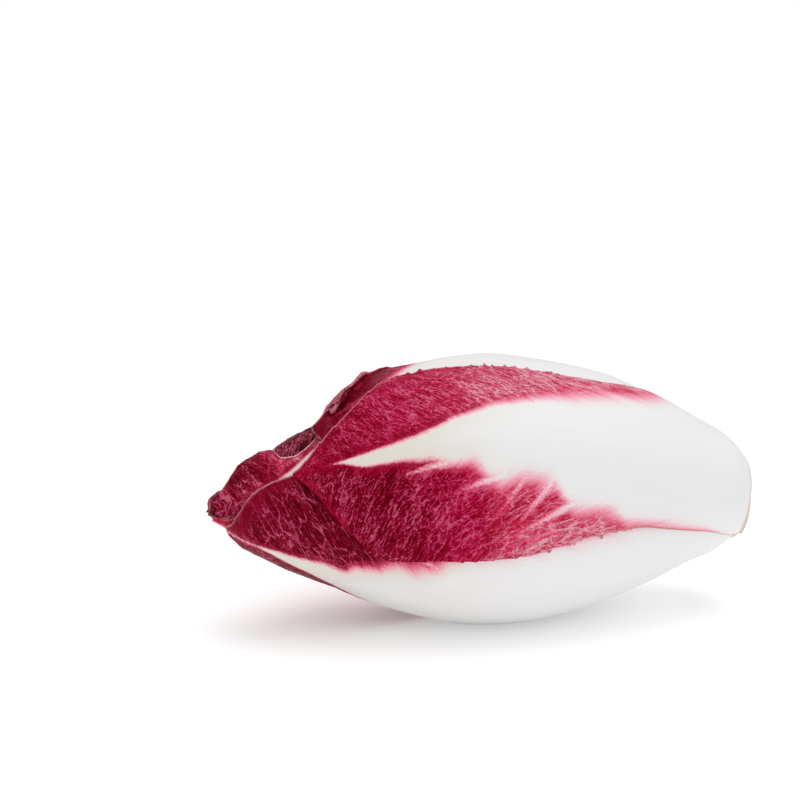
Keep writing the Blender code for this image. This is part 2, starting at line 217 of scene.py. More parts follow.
backLowLeaf = dict(plainLeaf, node="outer_leaf_4", ring=0, angle=242, lean=-6, tip=0.880, minus=60, plus=62,
    clasp=0.15, taperMinus=0.78, taperPlus=0.76, riseMinus=0.8, risePlus=0.8, along=180, across=100)

backLeaf = dict(plainLeaf, node="outer_leaf_5", ring=0, angle=180, lean=6, tip=0.850, minus=64, plus=62,
    taperMinus=0.76, taperPlus=0.78, riseMinus=1.2, risePlus=1.2, along=180, across=100)

tipLeaf = dict(plainLeaf, node="middle_leaf_1", ring=1, angle=110, lean=-80, tip=0.990, minus=64, plus=68,
    taperMinus=0.80, taperPlus=0.80, blunt=3.6, riseMinus=0.4, risePlus=0.6, along=220, across=120,
    whiteMinus=((0.00, 70), (0.40, 30), (0.60, 14), (0.75, 8), (0.84, 6), (0.88, 3.5), (0.91, 0),
        (0.94, -8), (1.00, -30)),
    whitePlus=((0.00, 70), (0.40, 26), (0.60, 12), (0.75, 4), (0.84, 2.2), (0.88, 0.6), (0.91, -1.5),
        (0.94, -8), (1.00, -30)),
    palePlus=((0.00, 0.8), (0.50, 0.4), (0.72, 0.9), (0.80, 1.3), (0.86, 1.0), (0.90, 0.3), (1.00, 0.1)),
    feather=((0.00, 3.0), (0.60, 1.0), (0.75, 0.35), (1.00, 0.3)),
    pale=((0.00, 0.8), (0.50, 0.3), (0.70, 0.1), (1.00, 0.1)),
    trimPlus=((0.00, 0), (0.70, 0), (0.78, 50), (0.828, 56), (0.853, 47), (0.868, 34), (0.875, 12),
        (0.89, 0), (1.00, 0)),
    rim=((0.00, 0.4), (0.85, 0.4), (0.92, 0.15), (1.00, 0.2)),
    rimPlus=((0.00, 0.9), (0.80, 0.9), (0.90, 1.0), (0.93, 0.4), (0.96, 0.15), (1.00, 0.2)),
    bulges=((0.91, 9.0, 6.0, 0.8),), tipRound=3.4, rolls=((0, 0.94, 1.05, 0.55, 1.6),),
    band=((0.00, 1.2), (0.80, 1.0), (0.93, 0.7), (1.00, 0.7)), pucker=0.50, wrinkle=0.70, teeth=0.5,
    skin="middle", slot="middle_leaf")

darkLeaf = dict(plainLeaf, node="middle_leaf_2", ring=1, angle=160, lean=-30, tip=0.960, minus=86, plus=64,
    taperMinus=0.76, taperPlus=0.78, blunt=3.6, riseMinus=0.6, risePlus=0.8, along=150, across=90,
    pale=((0.00, 0.8), (0.50, 0.3), (0.70, 0.0), (1.00, 0.0)), pucker=0.40, wrinkle=0.3, skin="dark",
    slot="middle_leaf")

curlLeaf = dict(plainLeaf, node="middle_leaf_3", ring=1, angle=276, lean=22, tip=0.988, minus=64, plus=70,
    taperMinus=0.78, taperPlus=0.84, blunt=5.0, riseMinus=0.5, risePlus=0.6, along=170, across=90,
    tipRound=3.4, band=((0.00, 0.0), (0.60, 0.0), (0.80, 3.0), (1.00, 5.0)), rim=((0.00, 0.5), (1.00, 0.5)),
    pucker=0.5, wrinkle=0.6, skin="curl", slot="middle_leaf")

secondRing = dict(plainLeaf, blunt=3.6, skin="middle", slot="middle_leaf", along=70, across=44)

secondBack = dict(secondRing, node="middle_leaf_4", ring=1, angle=214, lean=8, tip=0.965, minus=64, plus=66,
    taperMinus=0.76, taperPlus=0.78, riseMinus=0.8, risePlus=0.8)

secondFront = dict(secondRing, node="middle_leaf_5", ring=1, angle=0, lean=10, tip=0.950, minus=64, plus=64,
    taperMinus=0.78, taperPlus=0.76, riseMinus=0.3, risePlus=0.3)

thirdRing = dict(plainLeaf, ring=2, minus=74, plus=74, taperMinus=0.70, taperPlus=0.70, riseMinus=0.3,
    risePlus=0.3, along=44, across=30, skin="inner", slot="inner_leaf", pucker=0.1, wrinkle=0.0, teeth=0.0)

heartRing = dict(thirdRing, ring=3, minus=80, plus=80, taperMinus=0.60, taperPlus=0.60, blunt=2.2,
    riseMinus=0.2, risePlus=0.2, along=32, across=22)

leaves = (
    frontLeaf, lowerLeaf, topLeaf, backLowLeaf, backLeaf,
    tipLeaf, darkLeaf, curlLeaf, secondBack, secondFront,
    dict(thirdRing, node="inner_leaf_1", angle=95, lean=10, tip=0.955),
    dict(thirdRing, node="inner_leaf_2", angle=235, lean=-8, tip=0.945),
    dict(thirdRing, node="inner_leaf_3", angle=-22, lean=6, tip=0.935),
    dict(thirdRing, node="inner_leaf_4", angle=165, lean=0, tip=0.920, minus=70, plus=70),
    dict(heartRing, node="heart_leaf_1", angle=20, lean=10, tip=0.860),
    dict(heartRing, node="heart_leaf_2", angle=150, lean=-8, tip=0.820),
    dict(heartRing, node="heart_leaf_3", angle=275, lean=6, tip=0.780),
)


# The shape of the head
def smoothStep(x):
    x = np.clip(x, 0.0, 1.0)
    return x * x * (3.0 - 2.0 * x)


def softMin(a, b):
    return 0.5 * (a + b - np.sqrt((a - b) ** 2 + laying["blend"] ** 2))


def smoothCurve(points, x):
    xs, ys = np.array(points, dtype=float).T
    slopes = np.gradient(ys, xs)
    i = np.clip(np.searchsorted(xs, x) - 1, 0, len(xs) - 2)
    width = xs[i + 1] - xs[i]
    t = np.clip((x - xs[i]) / width, 0.0, 1.0)
    rise = 3 * t**2 - 2 * t**3
    start = (t**3 - 2 * t**2 + t) * width * slopes[i]
    end = (t**3 - t**2) * width * slopes[i + 1]
    return ys[i] * (1 - rise) + ys[i + 1] * rise + start + end


def ringRadius(leaf, s):
    ring = rings[leaf["ring"]]
    closing = smoothCurve(ring["closing"], s) if "closing" in ring else 1.0
    return smoothCurve(head[ring["profile"]], s) * head["bellyRadius"] * ring["reach"] * closing


def flare(leaf, s):
    step = 0.002
    slope = (ringRadius(leaf, s + step) - ringRadius(leaf, s - step)) / (2 * step * head["length"])
    return np.sqrt(1.0 + slope**2)


def midline(s):
    x = head["length"] * (0.5 - s) + head["shiftX"]
    return x, head["bellyHeight"] - smoothCurve(head["dips"], s) * mm


def sectionAxis(s):
    step = 0.001
    x0, z0 = midline(s - step)
    x1, z1 = midline(s + step)
    length = np.hypot(x1 - x0, z1 - z0)
    return (z1 - z0) / length, -(x1 - x0) / length


def place(s, angle, radius):
    x, z = midline(s)
    upX, upZ = sectionAxis(s)
    side, up = -np.cos(angle) * radius, np.sin(angle) * radius
    return np.stack([x + up * upX, side + head["shiftY"], z + up * upZ], axis=-1)


def midrib(leaf, s):
    return leaf["angle"] + leaf["lean"] * smoothStep((s - leaf["bend"]) / (leaf["tip"] - leaf["bend"]))


def turned(leaf, s, angle):
    return (np.degrees(angle) - midrib(leaf, s) + 180.0) % 360.0 - 180.0


def halfWidth(leaf, s, side):
    taper = np.where(side < 0, leaf["taperMinus"], leaf["taperPlus"])
    share = np.clip((s / leaf["tip"] - taper) / (1 - taper), 0.0, 1.0)
    narrow = 1.0 - laying["narrowing"] * (1.0 - smoothStep(s / laying["shoulder"]))
    clasp = 1.0 + leaf["clasp"] * np.exp(-s / laying["claspReach"])
    width = np.where(side < 0, leaf["minus"], leaf["plus"]) * narrow * clasp * (1.0 - share ** leaf["blunt"])
    return width - np.where(side < 0, smoothCurve(leaf["trim"], s), smoothCurve(leaf["trimPlus"], s))


def inside(leaf, s, angle, radius):
    off = turned(leaf, s, angle)
    across = np.radians(halfWidth(leaf, s, off) - np.abs(off)) * radius
    beyond = np.maximum(s - leaf["tip"], 0.0) * head["length"]
    return np.where(beyond > 0, -np.hypot(np.minimum(across, 0.0), beyond), across)


def ribShape(leaf, s, angle, radius):
    arc = np.radians(turned(leaf, s, angle)) * radius
    width = rings[leaf["ring"]]["ribWidth"] * (1.0 - laying["ribTaper"] * np.clip(s / leaf["tip"], 0.0, 1.0))
    return np.exp(-((arc / width) ** 2))


def thickness(leaf, s, angle):
    ring = rings[leaf["ring"]]
    radius = ringRadius(leaf, s)
    share = np.clip((s - ring["start"]) / (leaf["tip"] - ring["start"]), 0.0, 1.0)
    rib = ring["rib"] * np.minimum(1.0, laying["ribBase"] + share / laying["ribSwell"]) * (1.0 - share)
    edge = smoothStep(inside(leaf, s, angle, radius) / laying["edgeWidth"])
    blade = laying["edgeThickness"] + (ring["blade"] - laying["edgeThickness"]) * edge
    return blade + rib * ribShape(leaf, s, angle, radius)


def freeFace(leaf, s, angle, exposed):
    # Outer radius of a leaf with nothing over it: its margins lift, and the floor flattens its underside.
    radius = ringRadius(leaf, s)
    depth = inside(leaf, s, angle, radius)
    off = turned(leaf, s, angle)
    nearTip = smoothStep((s / leaf["tip"] - laying["riseStart"]) / laying["riseLength"])
    nearEdge = 1.0 - smoothStep(depth / laying["riseWidth"])
    keel = laying["keel"] * ribShape(leaf, s, angle, radius) * smoothStep(s / laying["keelStart"])
    turns = math.tau * s * head["length"] / laying["ruffleLength"]
    wave = 1.0 + laying["ruffle"] * np.sin(turns + leaf["angle"])
    rise = np.where(off < 0, leaf["riseMinus"], leaf["risePlus"]) * mm
    rise = rise * smoothStep(np.abs(off) / laying["riseAngle"])
    radius = radius + (keel + nearTip * nearEdge * wave * rise) * exposed
    _, upZ = sectionAxis(s)
    downward = -np.sin(angle) * upZ
    floor = midline(s)[1] / np.maximum(downward, 1e-6)
    return np.where(downward > laying["facingFloor"], np.minimum(radius, floor), radius)


def leafFaces(count, s, angle):
    # Outer and inner radius of leaf number count under the leaves before it, and how free it is of them.
    laid = []
    for leaf in leaves[: count + 1]:
        covers = []
        for over, _ in laid:
            past = -inside(over, s, angle, ringRadius(over, s))
            covers.append(smoothStep(past / laying["ease"]))
        exposed = np.ones_like(s)
        for cover in covers:
            exposed = exposed * cover
        free = freeFace(leaf, s, angle, exposed)
        outer = free
        for cover, (_, under) in zip(covers, laid):
            limit = under - laying["gap"]
            room = np.maximum(free + laying["freeRise"] - limit, 0.0)
            outer = softMin(outer, limit + room * cover)
        inner = outer - thickness(leaf, s, angle) * flare(leaf, s)
        laid.append((leaf, inner))
    return outer, inner, exposed


# Fine relief
latticeSize = 128  # the noise repeats after so many units
farAway = 9.0  # further in mm than any pattern asks


def latticeNoise(x, y, seed):
    # Smooth noise from 0 to 1 with hills about one unit across.
    size = latticeSize
    table = np.random.default_rng(seed).random((size, size))
    i, j = np.floor(x).astype(int), np.floor(y).astype(int)
    fx, fy = smoothStep(x - i), smoothStep(y - j)
    a, b = table[i % size, j % size], table[(i + 1) % size, j % size]
    c, d = table[i % size, (j + 1) % size], table[(i + 1) % size, (j + 1) % size]
    return (a * (1 - fx) + b * fx) * (1 - fy) + (c * (1 - fx) + d * fx) * fy


def blisters(x, y, seed):
    # Domes about one unit across with creases between them.
    size = latticeSize
    rng = np.random.default_rng(seed)
    offX, offY = rng.random((size, size)), rng.random((size, size))
    i, j = np.floor(x).astype(int), np.floor(y).astype(int)
    nearest = np.full_like(x, farAway)
    for di in (-1, 0, 1):
        for dj in (-1, 0, 1):
            ci, cj = (i + di) % size, (j + dj) % size
            gap = np.hypot(i + di + offX[ci, cj] - x, j + dj + offY[ci, cj] - y)
            nearest = np.minimum(nearest, gap)
    return 1.0 - np.clip(nearest, 0.0, 1.0) ** 2


veins = {
    "tipSlant": 0.45,  # mm that a side vein runs along the midrib for each mm across, at the tip
    "baseSlant": 3.6,  # and how much more at the base
    "curve": 2.6,
    "steps": 420,
}


def veinPlace(s, across):
    # What stays the same along a side vein. Side veins leave the midrib steeply near the tip, and slant
    # more and more along it towards the base.
    steps = np.linspace(0.0, 1.05, veins["steps"])
    slant = veins["tipSlant"] + veins["baseSlant"] * np.clip(1.0 - steps, 0.0, 1.0) ** veins["curve"]
    spread = np.cumsum(1.0 / slant) * (steps[1] - steps[0]) * head["length"] / mm
    return np.interp(s, steps, spread) - np.abs(across)


def streakReach(streak, along, across):
    # Distance in mm to a white streak that runs into the red, less than nothing inside it.
    (s0, a0), (s1, a1), wide, narrow = streak
    x0, x1 = s0 * head["length"] / mm, s1 * head["length"] / mm
    t = ((along - x0) * (x1 - x0) + (across - a0) * (a1 - a0)) / ((x1 - x0) ** 2 + (a1 - a0) ** 2)
    t = np.clip(t, 0.0, 1.0)
    gap = np.hypot(along - x0 - t * (x1 - x0), across - a0 - t * (a1 - a0))
    return gap - wide + (wide - narrow) * t


def marginReach(along, across):
    # For each point the distance to the nearest margin in mm, and the direction towards it.
    edgeAlong = np.concatenate([along[:, 0], along[-1, :], along[::-1, -1]])
    edgeAcross = np.concatenate([across[:, 0], across[-1, :], across[::-1, -1]])
    nearest = np.full(along.size, 1e9)
    towardX, towardY = np.zeros(along.size), np.zeros(along.size)
    px, py = along.reshape(-1), across.reshape(-1)
    for x, y in zip(edgeAlong, edgeAcross):
        gapX, gapY = x - px, y - py
        gap = np.hypot(gapX, gapY)
        closer = gap < nearest
        nearest[closer] = gap[closer]
        towardX[closer], towardY[closer] = gapX[closer], gapY[closer]
    length = np.maximum(np.hypot(towardX, towardY), 1e-6)
    return (nearest.reshape(along.shape), (towardX / length).reshape(along.shape),
        (towardY / length).reshape(along.shape))


margins = {
    "toothJitter": 0.6,  # in spacings
    "toothStart": (0.12, 0.25),  # share of the length where teeth begin, and over which they grow
    "spineSpacing": 2.6,  # mm
    "spineJitter": 0.8,  # in spacings
    "spineFade": 0.05,  # share of the length at each end of a stretch of spines
    "rollFade": (0.05, 0.03),  # the same where a roll starts and stops
    "rollRuffle": 5.0,  # mm along the margin over which a roll's reach changes
    "sideSharpness": 4,  # how soon one side of a leaf gives way to the other
    "edgePower": 24,  # how close to the margin the teeth stay
}


def marginTeeth(leaf, number, s, u):
    # How far in metres the margin stands out in teeth and fine spines.
    begin, growth = margins["toothStart"]
    fadeLength = margins["spineFade"]
    placeMm = s * head["length"] / mm
    jitter = margins["toothJitter"] * latticeNoise(s * 60, u * 0, number)
    tooth = (placeMm / leaf["toothSpacing"] + jitter) % 1.0
    teeth = leaf["teeth"] * mm * (1 - tooth) ** 2 * latticeNoise(s * 40 + 7, np.sign(u) * 3, number + 7)
    teeth = teeth * smoothStep((s - begin) / growth)
    for side, start, stop, length in leaf["spines"]:
        share = smoothStep((s - start) / fadeLength) * smoothStep((stop - s) / fadeLength)
        share = share * smoothStep(u * side * margins["sideSharpness"])
        jitter = margins["spineJitter"] * latticeNoise(s * 45, u * 0, number + 30)
        spine = (placeMm / margins["spineSpacing"] + jitter) % 1.0
        teeth = teeth + length * mm * share * (1 - spine) ** 4 * latticeNoise(s * 52 + 3, u * 0, number + 31)
    return teeth


def rollMargins(leaf, number, s, angle, u, along, across, radius, reachOf):
    # Margins that roll outwards: what lies past the roll's line is wound round it. Bulges only lift.
    # Gives the share of the length and the angle that each point moves to, and how far it lifts.
    margin, towardX, towardY = reachOf
    fadeIn, fadeOut = margins["rollFade"]
    moved, slid, lift = s.copy(), angle.copy(), np.zeros_like(s)
    for side, start, stop, size, reach in leaf["rolls"]:
        share = smoothStep((s - start) / fadeIn) * smoothStep((stop - s) / fadeOut)
        if side:
            share = share * smoothStep(u * side * margins["sideSharpness"])
        uneven = 0.75 + 0.5 * latticeNoise(along / margins["rollRuffle"], across * 0, number + 60)
        past = np.maximum(reach * share * uneven - margin, 0.0)
        turn = past / size
        back = past - size * np.sin(turn)
        moved = moved - towardX * back * mm / head["length"]
        slid = slid - towardY * back * mm / radius
        lift = lift + size * (1 - np.cos(turn)) * mm
    for middle, offset, reach, height in leaf["bulges"]:
        gap = np.hypot(along - middle * head["length"] / mm, across - offset)
        lift = lift + height * mm * np.exp(-((gap / reach) ** 2))
    return moved, slid, lift


# Sizes in mm of what puckers and folds the blade, along the leaf's side veins and across them
puckering = {
    "puffs": (3.4, 2.6), "smallPuffs": (2.0, 1.7), "puffShare": 0.6,
    "folds": (5.0, 9.0), "smallFolds": (2.8, 4.0), "smallFoldShare": 0.5,
    "puffLevel": 0.7, "foldLevel": 0.75,  # that leave the blade where it is
    "redStart": (0.5, 3.0),  # mm before the red's line where the relief starts, and over which it grows
    "covered": 0.15,  # share of the relief that is left under another leaf
    "calmed": 0.6,  # share of it that the smooth bands take away
    "bandWaver": 1.2, "bandSizes": (3.0, 1.2),  # mm by which the smooth bands' edges waver, and over what
}


def surfaceRelief(leaf, number, vein, along, across, blush, margin, s, shown):
    # Height of the puckers and folds in metres, how much a point is a fold (which the skin turns into
    # painted shade in the creases and painted light on the tops), and how smooth it is.
    seed = number * 11
    (pa, pc), (qa, qc), puffShare = puckering["puffs"], puckering["smallPuffs"], puckering["puffShare"]
    puffs = blisters(vein / pa, across / pc, seed) * puffShare
    puffs = puffs + blisters(vein / qa + 5, across / qc, seed + 1) * (1 - puffShare)
    (fa, fc), (ga, gc) = puckering["folds"], puckering["smallFolds"]
    folds = latticeNoise(vein / fa, across / fc, seed + 2)
    folds = folds + puckering["smallFoldShare"] * latticeNoise(vein / ga, across / gc, seed + 3)
    wide, small = puckering["bandSizes"]
    waver = latticeNoise(along / wide, across / wide, seed + 5)
    waver = waver + latticeNoise(along / small, across / small, seed + 6) - 1.0
    waver = puckering["bandWaver"] * waver
    smooth = np.zeros_like(s)
    for width, gap in (
        (smoothCurve(leaf["band"], s), margin),
        (smoothCurve(leaf["ribBand"], s), np.maximum(blush, 0.0)),
    ):
        calm = 1.0 - smoothStep(((gap + waver) / np.maximum(width, 0.05) - 0.5) / 0.9)
        smooth = np.maximum(smooth, calm * smoothStep(width))
    before, growth = puckering["redStart"]
    red = smoothStep((blush + before) / growth)
    puffed, folded = puffs - puckering["puffLevel"], folds - puckering["foldLevel"]
    relief = (leaf["pucker"] * puffed + leaf["wrinkle"] * folded * 2) * mm
    covered = puckering["covered"]
    relief = relief * red * (covered + (1 - covered) * shown) * (1 - puckering["calmed"] * smooth)
    # Painted shade and light: how deep in a crease or high on a fold a point lies, for the skin's colour.
    foldShading = np.clip((puffs - 0.62) * 1.3 + folded * 1.6, -1.0, 1.0) * leaf["pucker"] / 0.4
    return relief, foldShading, smooth


def leafGrid(leaf, number):
    # Points, wall thickness and the fields that the materials read, over a grid of rows along the leaf.
    ring = rings[leaf["ring"]]
    rows, columns = leaf["along"], leaf["across"]
    v = np.linspace(0.0, 1.0, rows)[:, None] * np.ones((1, columns))
    u = np.linspace(-1.0, 1.0, columns)[None, :] * np.ones((rows, 1))
    v = v + laying["crowding"] * np.sin(math.tau * (v - 0.5)) / math.pi
    s = ring["start"] + (leaf["tip"] - ring["start"]) * v

    radius = ringRadius(leaf, s)
    least = laying["tipLeast"]
    fromTip = np.clip((leaf["tip"] - s) * head["length"] / laying["tipLength"], 0.0, 1.0)
    rounded = leaf["tipRound"] * mm * (least + (1 - least) * np.sqrt(1.0 - (1.0 - fromTip) ** 2))
    width = np.maximum(halfWidth(leaf, s, u), np.degrees(rounded / radius))
    teeth = marginTeeth(leaf, number, s, u)
    atEdge = np.sign(u) * np.abs(u) ** margins["edgePower"]
    angle = np.radians(midrib(leaf, s) + u * width) + atEdge * teeth / radius

    across = np.radians(turned(leaf, s, angle)) * radius / mm
    along = s * head["length"] / mm
    reachOf = marginReach(along, across)
    whitePlus = np.radians(smoothCurve(leaf["whitePlus"], s)) * radius / mm
    whiteMinus = np.radians(smoothCurve(leaf["whiteMinus"], s)) * radius / mm
    blush = np.maximum(across - whitePlus, -across - whiteMinus)  # mm past the line between white and red
    notch = np.full_like(s, farAway)
    for streak in leaf["streaks"]:
        notch = np.minimum(notch, streakReach(streak, along, across))
    sideMix = smoothStep(u * margins["sideSharpness"] + 0.5)

    def bySide(label):
        other = leaf[label + "Plus"] or leaf[label]
        return smoothCurve(leaf[label], s) * (1 - sideMix) + smoothCurve(other, s) * sideMix

    vein = veinPlace(s, across)
    moved, slid, lift = rollMargins(leaf, number, s, angle, u, along, across, radius, reachOf)
    outer, _, exposed = leafFaces(number, moved, slid)
    shown = smoothStep(exposed * 3.0)
    margin = reachOf[0]
    relief, foldShading, smooth = surfaceRelief(leaf, number, vein, along, across, blush, margin, s, shown)
    points = place(moved, slid, outer + lift * shown + relief)
    low = points[..., 2] < laying["footSnap"]
    points[..., 2] = np.where(low, 0.0, points[..., 2])
    fields = {
        "leafPlace": np.stack([vein, across, np.full_like(vein, number * 17.0)], axis=-1),
        "leafField": np.stack([blush, bySide("feather"), margin], axis=-1),
        "leafShare": np.stack([s, bySide("rim"), bySide("pale")], axis=-1),
        "leafRelief": np.stack([foldShading, smooth, notch], axis=-1),
    }
    return points, thickness(leaf, s, angle), fields


# The pieces
def deselectAll():
    if bpy.context.object and bpy.context.object.mode != "OBJECT":
        bpy.ops.object.mode_set(mode="OBJECT")
    bpy.ops.object.select_all(action="DESELECT")


def makeLeaf(leaf, number, skin):
    deselectAll()
    rows, columns = leaf["along"], leaf["across"]
    bpy.ops.mesh.primitive_grid_add(x_subdivisions=columns - 1, y_subdivisions=rows - 1, size=2)
    piece = bpy.context.object
    piece.name = "leaf_" + leaf["node"]
    mesh = piece.data
    points, thick, fields = leafGrid(leaf, number)
    mesh.vertices.foreach_set("co", points.reshape(-1))
    for name, values in fields.items():
        made = mesh.attributes.new(name, "FLOAT_VECTOR", "POINT")
        made.data.foreach_set("vector", values.reshape(-1))
    mesh.update()
    group = piece.vertex_groups.new(name="thickness")
    most = thick.max()
    for i, share in enumerate((thick / most).reshape(-1)):
        group.add([i], float(share), "REPLACE")
    shell = piece.modifiers.new("Solidify", "SOLIDIFY")
    shell.thickness = most
    shell.offset = -1.0
    shell.vertex_group = group.name
    bpy.ops.object.modifier_apply(modifier=shell.name)
    piece.vertex_groups.clear()
    mesh.materials.clear()
    mesh.materials.append(skin)
    bpy.ops.object.shade_smooth()
    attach(piece, "root")
    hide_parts(leaf["node"])


# Materials
nodeStep = (180, -220)  # from one node to the next in the editor
nodesInRow = 12


def addNode(tree, kind, inputs=None, **settings):
    made = tree.nodes.new(kind)
    row, column = divmod(len(tree.nodes), nodesInRow)
    made.location = (nodeStep[0] * column, nodeStep[1] * row)
    for name, value in settings.items():
        setattr(made, name, value)
    for name, value in (inputs or {}).items():
        if isinstance(value, bpy.types.NodeSocket):
            tree.links.new(value, made.inputs[name])
        else:
            made.inputs[name].default_value = value
    return made


def maths(tree, operation, a, b=0.0, c=0.0):
    return addNode(tree, "ShaderNodeMath", {0: a, 1: b, 2: c}, operation=operation).outputs[0]


def times(tree, a, b):
    return maths(tree, "MULTIPLY", a, b)


def addScaled(tree, value, by, to):
    return maths(tree, "MULTIPLY_ADD", value, by, to)


def fade(tree, value, start, end, low=0.0, high=1.0):
    ends = {"Value": value, "From Min": start, "From Max": end, "To Min": low, "To Max": high}
    return addNode(tree, "ShaderNodeMapRange", ends, interpolation_type="SMOOTHSTEP").outputs["Result"]


def mixColour(tree, share, a, b):
    return addNode(tree, "ShaderNodeMix", {0: share, 6: a, 7: b}, data_type="RGBA").outputs[2]


def scaled(tree, vector, by):
    return addNode(tree, "ShaderNodeVectorMath", {0: vector, 1: by}, operation="MULTIPLY").outputs[0]


def noise(tree, vector, by, detail=2.0, roughness=0.5):
    inputs = {"Vector": scaled(tree, vector, by), "Scale": 1.0, "Detail": detail, "Roughness": roughness}
    return addNode(tree, "ShaderNodeTexNoise", inputs).outputs["Fac"]


def swing(tree, value, by):
    # A noise turned into a swing round nothing.
    return times(tree, maths(tree, "SUBTRACT", value, 0.5), by)


def contour(tree, value, width):
    # One along the lines where a noise is at its middle.
    return fade(tree, maths(tree, "ABSOLUTE", swing(tree, value, 1.0)), 0.0, width, 1.0, 0.0)


def cellEdge(tree, vector):
    inputs = {"Vector": vector, "Scale": 1.0}
    return addNode(tree, "ShaderNodeTexVoronoi", inputs, feature="DISTANCE_TO_EDGE").outputs["Distance"]


def newGroup(name, ins, outs):
    tree = bpy.data.node_groups.new(name, "ShaderNodeTree")
    for label, value in ins.items():
        kind = "NodeSocketColor" if isinstance(value, tuple) else "NodeSocketFloat"
        tree.interface.new_socket(label, in_out="INPUT", socket_type=kind).default_value = value
    for label, kind in outs.items():
        tree.interface.new_socket(label, in_out="OUTPUT", socket_type=kind)
    return tree, tree.nodes.new("NodeGroupInput").outputs, tree.nodes.new("NodeGroupOutput").inputs


# The skin of any leaf unless its own entry in skins says otherwise
plainSkin = {
    "Dark": (0.225, 0.0012, 0.024, 1),  # the blade, from darkest to palest
    "Bright": (0.48, 0.012, 0.080, 1),
    "Faded": (0.60, 0.068, 0.145, 1),
    "Band": (0.34, 0.0022, 0.027, 1),  # the smooth bands beside rib and margin
    "Light": (0.62, 0.115, 0.205, 1),  # the veins, and the painted highlights on the raised bumps and sheen patches
    "Hot": (0.66, 0.062, 0.145, 1),  # where the red begins
    "Pink": (0.87, 0.32, 0.43, 1),  # between red and rib
    "Rib": (0.835, 0.835, 0.835, 1),
    "Edge": (0.74, 0.32, 0.38, 1),
    "Grain Strength": 1.0,
    # how strongly the folds paint shade into their creases and light onto their tops
    "Fold Shading Strength": 0.5,
    "Vein Strength": 0.5,
    "Vein Spacing": 2.2,  # mm
    "Net Strength": 0.28,
}

tints = {  # that all the leaves share
    "faintBase": (0.82, 0.40, 0.38, 1), "faint": (0.80, 0.27, 0.35, 1),
    "paleVeinsAndHighlights": (0.84, 0.46, 0.53, 1),
    "ribShade": (0.72, 0.71, 0.69, 1), "cream": (0.74, 0.69, 0.60, 1),
    "edgeBase": (0.50, 0.22, 0.15, 1), "cutBrown": (0.62, 0.36, 0.24, 1),
}

# How many hills a pattern has in a mm, along the side veins or the leaf and across it. The last number sets
# it apart from the others.
patterns = {
    "grain": (1.7, 1.7, 1.0), "streaks": (0.16, 0.05, 1.0), "fineStreaks": (0.75, 0.10, 2.0),
    "veinDrift": (0.16, 0.12, 1.0), "fineDrift": (0.5, 0.5, 1.0), "veinsCome": (0.20, 0.12, 2.0),
    "netDrift": (0.2, 0.3, 8.0), "ridges": (2.9, 3.6, 2.0), "grooves": (0.62, 0.34, 9.0),
    "furrows": (0.42, 0.08, 12.0), "furrowsCome": (0.11, 0.07, 6.0), "paintedSheenPatches": (0.13, 0.13, 3.0),
    "specks": (2.2, 2.2, 4.0), "clouds": (0.55, 0.55, 7.0), "ribLines": (0.03, 1.6, 1.0),
}
netScale = 0.20  # cells of the net of veins in a mm
skinDepth = 0.16  # mm of height for one of relief
ribLineDepth = 0.012  # mm that the rib's fine lines stand out


def readFields(tree):
    # What the leaves' meshes carry, by name.
    carried = {
        "leafPlace": ("vein", "across", "seed"),
        "leafField": ("blush", "feather", "margin"),
        "leafShare": ("along", "rim", "pale"),
        "leafRelief": ("foldShading", "smooth", "notch"),
    }
    at = {}
    for label, names in carried.items():
        at[label] = addNode(tree, "ShaderNodeAttribute", attribute_name=label).outputs["Vector"]
        at.update(zip(names, addNode(tree, "ShaderNodeSeparateXYZ", {0: at[label]}).outputs))
    placeMm = times(tree, at["along"], head["length"] / mm)
    flat = addNode(tree, "ShaderNodeCombineXYZ", {0: placeMm, 1: at["across"], 2: at["seed"]})
    at["leafFlat"] = flat.outputs[0]
    return at


def redLevel(tree, at, grain):
    # Below nothing in the white rib, and growing into the red. Streaks make the line between them ragged.
    streak = swing(tree, noise(tree, at["leafPlace"], patterns["streaks"], 1.0, 0.4), 2.0)
    fine = swing(tree, noise(tree, at["leafPlace"], patterns["fineStreaks"], 2.0, 0.5), 1.3)
    reach = addScaled(tree, maths(tree, "ADD", streak, fine), at["feather"], at["blush"])
    ragged = addScaled(tree, at["feather"], 0.55, 0.5)
    reach = addScaled(tree, swing(tree, grain, 1.0), ragged, reach)
    level = maths(tree, "DIVIDE", reach, addScaled(tree, at["feather"], 0.62, 0.13))
    cut = addScaled(tree, swing(tree, grain, 1.0), 1.6, at["notch"])
    return maths(tree, "MINIMUM", level, addScaled(tree, cut, 2.2, 0.3))


def sideVeins(tree, at, fine, spacing):
    # One along the side veins, which come and go.
    drift = swing(tree, noise(tree, at["leafPlace"], patterns["veinDrift"], 2.0), 4.0)
    warped = maths(tree, "ADD", maths(tree, "ADD", at["vein"], drift), swing(tree, fine, 1.6))
    lines = fade(tree, maths(tree, "PINGPONG", warped, spacing), 0.0, 0.42, 1.0, 0.0)
    comes = fade(tree, noise(tree, at["leafPlace"], patterns["veinsCome"], 1.0), 0.40, 0.60)
    return times(tree, lines, comes)


def veinNet(tree, at, fine):
    # The light net between the side veins, and the far finer one that pits the blade, whose pits the colour
    # darkens as painted shade.
    drift = swing(tree, noise(tree, at["leafPlace"], patterns["netDrift"], 1.0), 0.8)
    netAlong = addScaled(tree, at["vein"], netScale, swing(tree, fine, 0.35))
    netAcross = addScaled(tree, at["across"], netScale, drift)
    netAt = addNode(tree, "ShaderNodeCombineXYZ", {0: netAlong, 1: netAcross, 2: at["seed"]}).outputs[0]
    net = fade(tree, cellEdge(tree, netAt), 0.0, 0.09, 1.0, -0.18)
    ridges = fade(tree, cellEdge(tree, scaled(tree, netAt, patterns["ridges"])), 0.0, 0.16)
    return net, ridges


